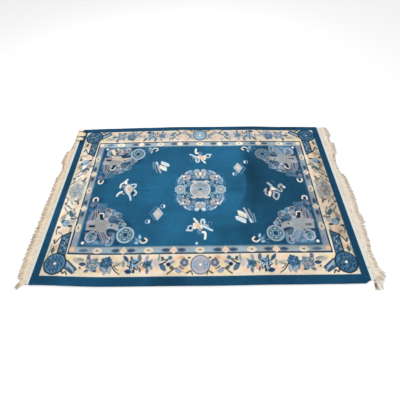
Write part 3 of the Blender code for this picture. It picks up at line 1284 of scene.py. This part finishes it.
def paint_nap_light_and_streaks():
    """Paints light and shade into the wool's colour for the way its nap lies, and adds the dye's uneven
    bands.
    """
    x, y = whole_rug()[1:]
    across = np.sin(y * 0.045 + 1.5 * np.sin(x * 0.004))
    light = 1 + STREAKS * across + STREAKS * np.sin(x * 0.017 + y * 0.006)
    # Painted light and shade, row by row of the table.
    for row in PAINTED_NAP_LIGHT:
        distance = polygon(row["outline"])[1]
        light *= 1 + row["tone"] * np.clip(0.5 - distance(x, y) / row["soft"], 0, 1)
    distance = polygon(TURNED_NAP_SHADE_OUTLINE)[1]
    turned = np.clip(0.5 - distance(x, y) / TURNED_SOFT, 0, 1)
    for side, (start, width) in TURNED_FADES.items():
        away = {"right": start - x, "far": y - start, "near": start - y}[side]
        turned *= np.clip(away / width, 0, 1)
    # Painted shade over the patch of turned nap.
    light *= 1 - TURNED_SHADE * turned
    loom.dye *= light[..., None]


paint_nap_light_and_streaks()
COINS = [(715, 1386, "sky"), (704, 1386, "mist"), (702, 1379, "sky"), (698, 1362, "stone")]
for quarter, (x, y, ring_dye) in zip(QUARTERS, COINS):
    corner_treasures(quarter)
    field_coin(quarter.at(x, y), ring_dye)
    coin_tassel(quarter)
lines(QUARTERS[2], WARM_LINES)
QUARTERS[3].at(698, 1362).dye(oval(80), "navy", soft=8, share=0.35)
for quarter in (QUARTERS[1], QUARTERS[3]):
    quarter.at(508, 1395).dye(oval(64, 62), "frost", soft=50, share=0.32)
    quarter.at(470, 1290).dye(oval(110, 44), "guard", soft=30, share=0.35)
dye_emblems()
book_and_scroll(Place(1797, 1208, size=0.95))
book_and_scroll(Place(968, 610, size=0.93, flip=(-1, -1)))
lozenges(Place(1777, 636))
lozenges(Place(987, 1176, flip=(-1, -1)))
Place(1352, 1474).dye(oval(11), "sky")
dye_medallion()


# The pile and its back.

def soft_noise(rng, shape, cells):
    """Even random values, blurred over so many cells each way."""
    noise = rng.standard_normal(shape)
    kernel = np.hanning(2 * cells + 1)
    kernel /= kernel.sum()
    for axis in (0, 1):
        noise = np.apply_along_axis(lambda line: np.convolve(line, kernel, mode="same"), axis, noise)
    return noise / noise.std()


def pile_heights():
    """The height of the clipped pile above the floor at every knot."""
    x, y = np.meshgrid(loom.x, loom.y)
    from_edge = np.minimum(np.minimum(x, LENGTH - x), np.minimum(y, WIDTH - y))
    height = np.full(x.shape, PILE_THICKNESS)
    for wave in PILE_WAVES:
        swing = wave["turn_x"] * x * MM + wave["turn_y"] * y * MM + wave["start"]
        height += wave["height"] * np.sin(swing)
    rng = np.random.default_rng(TUFT_SEED)
    height += TUFT_JITTER * rng.standard_normal(x.shape)
    height += SWELL_HEIGHT * soft_noise(rng, x.shape, SWELL_CELLS)
    height -= loom.clipped * MM
    height -= EDGE_DROP * np.exp(-(from_edge / EDGE_REACH) ** EDGE_CURVE)
    return height


def placed(name, data):
    """Puts a new object in the scene."""
    thing = bpy.data.objects.new(name, data)
    bpy.context.scene.collection.objects.link(thing)
    return thing


def finished_mesh(name, bm):
    mesh = bpy.data.meshes.new(name)
    bm.to_mesh(mesh)
    bm.free()
    return mesh


def mesh_object(mesh, finish, node):
    mesh.materials.append(finish)
    thing = placed(mesh.name, mesh)
    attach(thing, BODY)
    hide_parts(node)
    return thing


def slab_mesh(name, columns, rows):
    """A closed slab, one unit thick: a grid of cells above or below, and one flat face opposite."""
    bm = bmesh.new()
    bmesh.ops.create_grid(bm, x_segments=columns, y_segments=rows, size=0.5)
    rim = [edge for edge in bm.edges if edge.is_boundary]
    wall = bmesh.ops.extrude_edge_only(bm, edges=rim)["geom"]
    foot = [part for part in wall if isinstance(part, bmesh.types.BMVert)]
    bmesh.ops.translate(bm, verts=foot, vec=(0, 0, -1))
    hem = [part for part in wall if isinstance(part, bmesh.types.BMEdge) and part.is_boundary]
    bmesh.ops.contextual_create(bm, geom=hem)
    bmesh.ops.recalc_face_normals(bm, faces=bm.faces)
    return finished_mesh(name, bm)


def vertex_places(mesh):
    co = np.zeros(len(mesh.vertices) * 3, np.float32)
    mesh.vertices.foreach_get("co", co)
    return co.reshape(-1, 3)


def grid_places(mesh, columns, rows):
    """Each vertex's column and row in a slab's grid, and whether it lies on the grid's side."""
    co = vertex_places(mesh)
    column = np.rint((co[:, 0] + 0.5) * columns).astype(int)
    row = np.rint((0.5 - co[:, 1]) * rows).astype(int)
    return column, row, co[:, 2] > -0.5


def colour_vertices(mesh, dyes):
    """Gives each vertex its colour: its dye, with any painted shade in it."""
    rgba = np.ones((len(dyes), 4), np.float32)
    rgba[:, :3] = dyes
    attribute = mesh.color_attributes.new("dye", "FLOAT_COLOR", "POINT")
    attribute.data.foreach_set("color", rgba.ravel())
    mesh.shade_smooth()


def set_slab(mesh, places, dyes):
    """Moves a slab's vertices to their places, and gives each its colour, painted shade included."""
    mesh.vertices.foreach_set("co", np.column_stack(places).astype(np.float32).ravel())
    colour_vertices(mesh, dyes)
    mesh.set_sharp_from_angle(angle=SHARP_ANGLE)
    mesh.update()


def make_pile(finish):
    heights = pile_heights()
    strips = []
    for number in range(STRIPS):
        mesh = slab_mesh(f"pile_strip_{number + 1}", COLUMNS, ROWS_PER_STRIP)
        column, row, above = grid_places(mesh, COLUMNS, ROWS_PER_STRIP)
        row += number * ROWS_PER_STRIP
        x, y = on_floor(loom.x[column], loom.y[row])
        z = np.where(above, heights[row, column], PILE_FOOT)
        set_slab(mesh, (x, y, z), loom.dye[row, column])
        strips.append(mesh_object(mesh, finish, PILE_NODE))
    return strips


def make_back(finish):
    """The foundation under the pile, which shows the pattern on its underside."""
    mesh = slab_mesh("rug_back", BACK_COLUMNS, BACK_ROWS)
    column, row, below = grid_places(mesh, BACK_COLUMNS, BACK_ROWS)
    x, y = on_floor(column / BACK_COLUMNS * LENGTH, row / BACK_ROWS * WIDTH)
    ribs = BACK_RIB * (1 + np.sin(row * 2.1))
    z = np.where(below, ribs, BACK_THICKNESS)
    knot_row = np.rint(row / BACK_ROWS * (len(loom.y) - 1)).astype(int)
    knot_column = np.rint(column / BACK_COLUMNS * (len(loom.x) - 1)).astype(int)
    # The underside takes the knots' colours, with their painted groove and nap shade.
    set_slab(mesh, (x, y, z), loom.dye[knot_row, knot_column])
    mesh.flip_normals()
    back = mesh_object(mesh, finish, PILE_NODE)


# The cotton webs, and the warps knotted in front of them. along is the distance from the far
# corner, reach how far the tips are from the pile, sweep how far they lean to the near side.

WEB_GAP = 0.3
WEB_WIDTH = 32.0
WEB_THICKNESS = 2.6
YARN_START = WEB_WIDTH - 3
WEB_CELLS = (10, 420)
WEB_RIB = 0.35
WEB_TWILL = 0.25
# Painted shade in the weave's hollows.
WEB_SHADE = 0.12
# How dark and how wide the painted shadow line across each web is.
SHADOW_LINE_SHADE = 0.5
SHADOW_LINE_WIDTH = 4
TASSELS = 140
YARNS_IN_TASSEL = 9
YARN_RADIUS = 1.15
YARN_PATH = table("""
share spread rise thick
0.0 0.8 2.9 1.0
0.09 0.34 4.0 1.0
0.22 0.62 3.8 1.1
0.42 1.0 3.2 1.1
0.64 1.15 2.4 1.1
0.84 1.25 1.7 1.0
1.0 1.3 1.1 0.7
""")
# How much one tassel, or one yarn, differs from the next.
TASSEL_SCATTER = {"length": 0.03, "lean": 2.0}
YARN_SCATTER = {"length": 0.05, "lean": 2.0, "wave": 1.6, "lift": 0.8}
TURN_SCATTER = {"cover": 0.08, "out": 1.2, "along": 0.8}
# Yarns get thicker where the fringe fans out, so that it stays closed there.
FAN = {"step": 5, "gain": 0.35, "most": 1.6}
KNOT_SHARE = 0.10
KNOT = (9.0, 8.0, 5.6)
KNOT_LIFT = 0.3
MERGE_DISTANCE = 0.00001
# Where along the yarns their darker tips and the dark specks start, and how strong these are.
TIP_START = 0.55
TIP_PATCHES = 0.25
SPECK_START = 0.6
SPECK_DARKNESS = 0.72
LEFT_FRINGE = table("""
along reach sweep
0 80 -10
200 62 0
310 68 10
360 110 12
450 118 6
630 88 -4
780 111 4
970 108 10
1140 117 4
1260 112 -6
1420 119 2
1600 120 8
1720 116 6
1768 106 8
1784 82 12
1800 104 44
1830 90 38
""")
RIGHT_FRINGE = table("""
along reach sweep
0 112 -2
80 134 4
210 100 8
280 136 0
400 126 6
460 88 8
570 78 -2
680 87 2
740 121 6
840 122 -4
1000 131 4
1140 118 8
1260 128 0
1420 108 6
1570 92 2
1690 104 8
1716 128 16
1750 122 32
1768 98 44
1776 78 90
1786 66 88
1788 46 92
1806 8 70
""")
# Three locks at the far left corner are turned back over the pile.
TURNED_BACK = table("""
from to middle cover
0 45 22 12
45 130 98 52
130 200 163 40
""")
TURN_PATH = table("""
out back rise thick
42 0.0 6.0 1.0
50 0.0 10.0 1.0
52 0.0 15.0 1.1
46 0.0 19.5 1.1
46 0.5 19.0 1.0
46 1.0 16.4 0.6
""")
GATHER = 0.58
# Each end: its web's length and the place of a painted shadow line across it, its fringe, its dyes and its
# random seed.
ENDS = [
    {"name": "left", "side": -1, "edge": LEFT_END, "web": 1829, "crease": 1826, "rows": LEFT_FRINGE,
     "locks": TURNED_BACK, "seed": 5,
     "dyes": {"web": (217, 223, 216), "root": (246, 230, 206), "tip": (212, 194, 170)}},
    {"name": "right", "side": 1, "edge": pile_high.x, "web": 1806, "crease": 1698, "rows": RIGHT_FRINGE,
     "locks": [], "seed": 8,
     "dyes": {"web": (219, 225, 220), "root": (246, 234, 218), "tip": (218, 204, 186)}},
]


def beyond(end, out, along):
    """The place of a point that is so far out from the pile, and along from the far corner."""
    return end["edge"] + end["side"] * np.asarray(out) * MM, FAR_LINE - np.asarray(along) * MM


def make_web(end, finish):
    across, lengthwise = WEB_CELLS
    mesh = slab_mesh(f"web_{end['name']}", across, lengthwise)
    column, row, above = grid_places(mesh, across, lengthwise)
    out = WEB_GAP + (WEB_WIDTH - WEB_GAP) * column / across
    along = end["web"] * row / lengthwise
    x, y = beyond(end, out, along)
    ridges = WEB_RIB * np.cos(math.pi * column) + WEB_TWILL * np.sin(row * 2.6 + column * math.pi)
    z = np.where(above, (WEB_THICKNESS + ridges) * MM, 0.0)
    # Painted shade in the weave's hollows.
    shade = 1 - WEB_SHADE * (ridges < 0)
    # Painted shadow line across the web.
    shade *= 1 - SHADOW_LINE_SHADE * np.exp(-((along - end["crease"]) / SHADOW_LINE_WIDTH) ** 2)
    set_slab(mesh, (x, y, z), linear(end["dyes"]["web"]) * shade[:, None])
    if end["side"] < 0:
        mesh.flip_normals()
    return mesh_object(mesh, finish, f"fringe_{end['name']}")


def lying_yarn(end, rng, tassel, offset, lift):
    rows, root = end["rows"], tassel["along"] + offset
    reach = between_rows(rows, root, "reach") * tassel["length"]
    reach *= 1 + YARN_SCATTER["length"] * rng.normal()
    sweep = between_rows(rows, root, "sweep") + tassel["lean"] + YARN_SCATTER["lean"] * rng.normal()
    ahead, behind = root + FAN["step"], root - FAN["step"]
    side_step, out_step = (
        (between_rows(rows, ahead, column) - between_rows(rows, behind, column)) / (2 * FAN["step"])
        for column in ("sweep", "reach"))
    fan = 1 + FAN["gain"] * np.clip(math.hypot(1 + side_step, out_step) - 1, 0, FAN["most"])
    wave, phase = YARN_SCATTER["wave"] * rng.normal(), rng.uniform(0, math.tau)
    points = []
    for row in YARN_PATH:
        share = row["share"]
        out = YARN_START + (reach - YARN_START) * share
        along = tassel["along"] + offset * row["spread"] + sweep * share * share
        along += wave * share * math.sin(phase + 5 * share)
        thick = row["thick"] * (1 + (fan - 1) * share)
        rise = max(YARN_RADIUS * thick + 0.1, row["rise"] * (0.7 + lift * (1 - 0.5 * share)))
        points.append((out, along, rise, thick))
    return points


def turned_yarn(rng, tassel, offset, lift, lock):
    at_root = tassel["along"] + offset
    middle = lock["middle"] + (tassel["along"] - lock["middle"]) * GATHER
    cover = lock["cover"] * (1 - 0.5 * abs(at_root - lock["middle"]) / (lock["to"] - lock["from"]))
    cover *= 1 + TURN_SCATTER["cover"] * rng.normal()
    points = [(YARN_START, at_root, 2.8, 1.0)]
    for number, row in enumerate(TURN_PATH):
        share = (number + 1) / len(TURN_PATH)
        out = row["out"] + (-cover - row["out"]) * row["back"] + TURN_SCATTER["out"] * rng.normal()
        along = at_root + (middle + offset * 0.9 - at_root) * share
        along += TURN_SCATTER["along"] * rng.normal() * share
        points.append((out, along, row["rise"] + 2.2 * lift, row["thick"]))
    return points


def yarn_curve(name):
    curve = bpy.data.curves.new(name, "CURVE")
    curve.dimensions = "3D"
    curve.bevel_depth = YARN_RADIUS * MM
    curve.bevel_resolution = 0
    curve.use_fill_caps = True
    return curve


def add_yarn(curve, end, points):
    spline = curve.splines.new("POLY")
    spline.points.add(len(points) - 1)
    for place, (out, along, rise, thick) in zip(spline.points, points):
        x, y = beyond(end, out, along)
        place.co = (x, y, rise * MM, 1)
        place.radius = thick


def add_knot(knots, end, along):
    reach = between_rows(end["rows"], along, "reach") - WEB_WIDTH
    x, y = beyond(end, WEB_WIDTH + reach * KNOT_SHARE, along)
    size = Matrix.Diagonal([measure * MM for measure in KNOT]).to_4x4()
    place = Matrix.Translation((x, y, (KNOT[2] / 2 + KNOT_LIFT) * MM)) @ size
    bmesh.ops.create_icosphere(knots, subdivisions=1, radius=0.5, matrix=place)


def make_fringe(end, finish, web):
    rng = np.random.default_rng(end["seed"])
    name = f"fringe_{end['name']}"
    curve = yarn_curve(name)
    pitch = end["web"] / TASSELS
    knots = bmesh.new()
    for number in range(TASSELS):
        tassel = {
            "along": pitch * (number + 0.5),
            "length": 1 + TASSEL_SCATTER["length"] * rng.normal(),
            "lean": TASSEL_SCATTER["lean"] * rng.normal(),
        }
        lock = next((l for l in end["locks"] if l["from"] <= tassel["along"] < l["to"]), None)
        for yarn in range(YARNS_IN_TASSEL):
            offset = pitch * ((yarn + 0.5) / YARNS_IN_TASSEL - 0.5)
            lift = rng.uniform(0, YARN_SCATTER["lift"])
            if lock:
                add_yarn(curve, end, turned_yarn(rng, tassel, offset, lift, lock))
            else:
                add_yarn(curve, end, lying_yarn(end, rng, tassel, offset, lift))
        if not lock:
            add_knot(knots, end, tassel["along"])
    holder = placed(curve.name, curve)
    bpy.context.view_layer.update()
    tubes = bpy.data.meshes.new_from_object(holder.evaluated_get(bpy.context.evaluated_depsgraph_get()))
    bpy.data.objects.remove(holder)
    knots.from_mesh(tubes)
    bmesh.ops.remove_doubles(knots, verts=knots.verts, dist=MERGE_DISTANCE)
    bmesh.ops.recalc_face_normals(knots, faces=knots.faces)
    mesh = finished_mesh(f"{name}_yarns", knots)
    shade_fringe(mesh, end)
    yarns = mesh_object(mesh, finish, name)
    end["web"] * MM


def shade_fringe(mesh, end):
    """Dyes the yarns: bright at the web, a little brown and grey at the tips, with dark specks near them."""
    co = vertex_places(mesh)
    out = np.abs(co[:, 0] - end["edge"]) / MM
    along = (FAR_LINE - co[:, 1]) / MM
    share = np.clip(out / between_rows(end["rows"], along, "reach"), 0, 1)
    patches = np.sin(along * 0.021) * np.sin(along * 0.0073 + 1) * 0.5 + np.sin(along * 0.11) * 0.25
    root, tip = linear(end["dyes"]["root"]), linear(end["dyes"]["tip"])
    mix = np.clip((share - TIP_START) / (1 - TIP_START) + TIP_PATCHES * patches, 0, 1)[:, None]
    specks = np.sin(along * 0.19 + 2 * np.sin(along * 0.05)) * np.sin(out * 0.10 + along * 0.13)
    specks = np.clip(3 * specks - 1.3, 0, 1) * np.clip((share - SPECK_START) / 0.2, 0, 1)
    colour_vertices(mesh, (root + (tip - root) * mix) * (1 - SPECK_DARKNESS * specks[:, None]))


# Materials.

class Value:
    """A number on a shader socket, so that sums are written as plain Python."""

    def __init__(self, shader, socket):
        self.shader = shader
        self.socket = socket

    def __add__(self, other):
        return self.shader.value("ShaderNodeMath", {"operation": "ADD"}, self, other)

    def __mul__(self, other):
        return self.shader.value("ShaderNodeMath", {"operation": "MULTIPLY"}, self, other)

    __radd__ = __add__
    __rmul__ = __mul__


class Shader:
    """A material whose nodes come from one method."""

    def __init__(self, name, roughness, sheen=0.0):
        self.material = bpy.data.materials.new(name)
        self.material.use_nodes = True
        self.tree = self.material.node_tree
        self.surface = self.tree.nodes["Principled BSDF"]
        self.surface.inputs["Roughness"].default_value = roughness
        self.surface.inputs["Sheen Weight"].default_value = sheen
        self.surface.inputs["Sheen Roughness"].default_value = 0.5
        self.surface.inputs["Specular IOR Level"].default_value = 0.05

    def node(self, kind, settings=None, inputs=None):
        node = self.tree.nodes.new(kind)
        for key, value in (settings or {}).items():
            setattr(node, key, value)
        for key, value in (inputs or {}).items():
            self.feed(node.inputs[key], value)
        return node

    def feed(self, socket, value):
        if isinstance(value, Value):
            value = value.socket
        if isinstance(value, bpy.types.NodeSocket):
            self.tree.links.new(value, socket)
        else:
            socket.default_value = value

    def value(self, kind, settings, *values):
        node = self.node(kind, settings, dict(enumerate(values)))
        return Value(self, node.outputs[0])

    def places(self):
        return self.node("ShaderNodeTexCoord").outputs["Object"]

    def noise(self, scale, detail=2.0, stretch=(1, 1, 1)):
        mapping = self.node("ShaderNodeMapping", None, {"Vector": self.places(), "Scale": stretch})
        noise = self.node("ShaderNodeTexNoise", {"noise_dimensions": "3D"}, {
            "Vector": mapping.outputs[0], "Scale": scale, "Detail": detail, "Roughness": 0.6})
        return Value(self, noise.outputs["Fac"])

    def dyed(self, light):
        """Colours the surface by its vertex colours, dye with any painted shade, times a number that varies
        over it.
        """
        dye = self.node("ShaderNodeAttribute", {"attribute_name": "dye"})
        colour = self.node("ShaderNodeVectorMath", {"operation": "SCALE"}, {
            "Vector": dye.outputs["Color"], "Scale": light})
        self.feed(self.surface.inputs["Base Color"], colour.outputs[0])

    def raised(self, height, strength, distance):
        bump = self.node("ShaderNodeBump", None, {
            "Height": height, "Strength": strength, "Distance": distance})
        self.feed(self.surface.inputs["Normal"], bump.outputs[0])


def wool_finish(name, brightness, tuft_scale, sheen):
    shader = Shader(name, roughness=0.92, sheen=sheen)
    tufts = shader.noise(tuft_scale)
    mottle = shader.noise(scale=24.0, detail=3.0)
    clouds = shader.noise(scale=5.0)
    shader.dyed((tufts * 0.30 + mottle * 0.36 + clouds * 0.34) + (brightness - 0.5))
    shader.raised(tufts, strength=0.55, distance=0.0025)
    return shader.material


def cotton_finish(name, scale, stretch):
    shader = Shader(name, roughness=0.9, sheen=0.1)
    fibres = shader.noise(scale, stretch=stretch)
    stains = shader.noise(scale=14.0)
    shader.dyed((fibres * 0.24 + stains * 0.20) + 0.78)
    shader.raised(fibres, strength=0.4, distance=0.001)
    return shader.material


strips = make_pile(wool_finish("wool_pile_finish", brightness=1.0, tuft_scale=260.0, sheen=0.02))
make_back(wool_finish("wool_back_finish", brightness=0.9, tuft_scale=180.0, sheen=0.0))
web_finish = cotton_finish("cotton_web_finish", scale=320.0, stretch=(1, 1, 1))
yarn_finish = cotton_finish("cotton_yarn_finish", scale=420.0, stretch=(0.35, 1, 1))
for end in ENDS:
    make_fringe(end, yarn_finish, make_web(end, web_finish))


# Floor, light and camera.

FLOOR_SIZE = 14.0
FLOOR_LEVEL = -0.0005
FLOOR_COLOUR = (0.97, 0.97, 0.97, 1)
CAMERA_PLACE = (0.0347, -1.5432, 2.1357)
CAMERA_PITCH = 55.87
CAMERA_YAW = -1.375
CAMERA_ROLL = -1.613
LENS = 23.94
SENSOR = 36.0
SKY_STRENGTH = 0.88
LAMPS = table("""
name x y z size watts
far_softbox -0.6 2.2 3.2 3.5 42
near_softbox 0.8 -2.2 3.4 3.5 26
""")


def make_floor():
    bm = bmesh.new()
    bmesh.ops.create_grid(bm, x_segments=1, y_segments=1, size=FLOOR_SIZE / 2)
    bmesh.ops.translate(bm, verts=bm.verts, vec=(0, 0, FLOOR_LEVEL))
    mesh = finished_mesh("studio_floor", bm)
    paint = bpy.data.materials.new("pale_floor")
    paint.use_nodes = True
    shader = paint.node_tree.nodes["Principled BSDF"]
    shader.inputs["Base Color"].default_value = FLOOR_COLOUR
    shader.inputs["Roughness"].default_value = 0.9
    mesh.materials.append(paint)
    floor = placed("studio_floor", mesh)


def make_lights():
    world = bpy.data.worlds.new("studio_sky")
    world.use_nodes = True
    sky = world.node_tree.nodes["Background"]
    sky.inputs["Color"].default_value = (1, 1, 1, 1)
    sky.inputs["Strength"].default_value = SKY_STRENGTH
    bpy.context.scene.world = world
    for row in LAMPS:
        lamp = bpy.data.lights.new(row["name"], "AREA")
        lamp.shape = "SQUARE"
        lamp.size = row["size"]
        lamp.energy = row["watts"]
        thing = placed(row["name"], lamp)
        thing.location = Vector((row["x"], row["y"], row["z"]))
        thing.rotation_euler = (-thing.location).to_track_quat("-Z", "Y").to_euler()


def make_camera():
    camera = bpy.data.cameras.new("photo_camera")
    camera.lens = LENS
    camera.sensor_width = SENSOR
    thing = placed("photo_camera", camera)
    yaw = Matrix.Rotation(math.radians(-CAMERA_YAW), 4, "Z")
    pitch = Matrix.Rotation(math.radians(90 - CAMERA_PITCH), 4, "X")
    roll = Matrix.Rotation(math.radians(CAMERA_ROLL), 4, "Z")
    thing.matrix_world = Matrix.Translation(CAMERA_PLACE) @ yaw @ pitch @ roll
    bpy.context.scene.camera = thing


make_floor()
make_lights()
make_camera()
bpy.context.scene.view_settings.view_transform = "Standard"
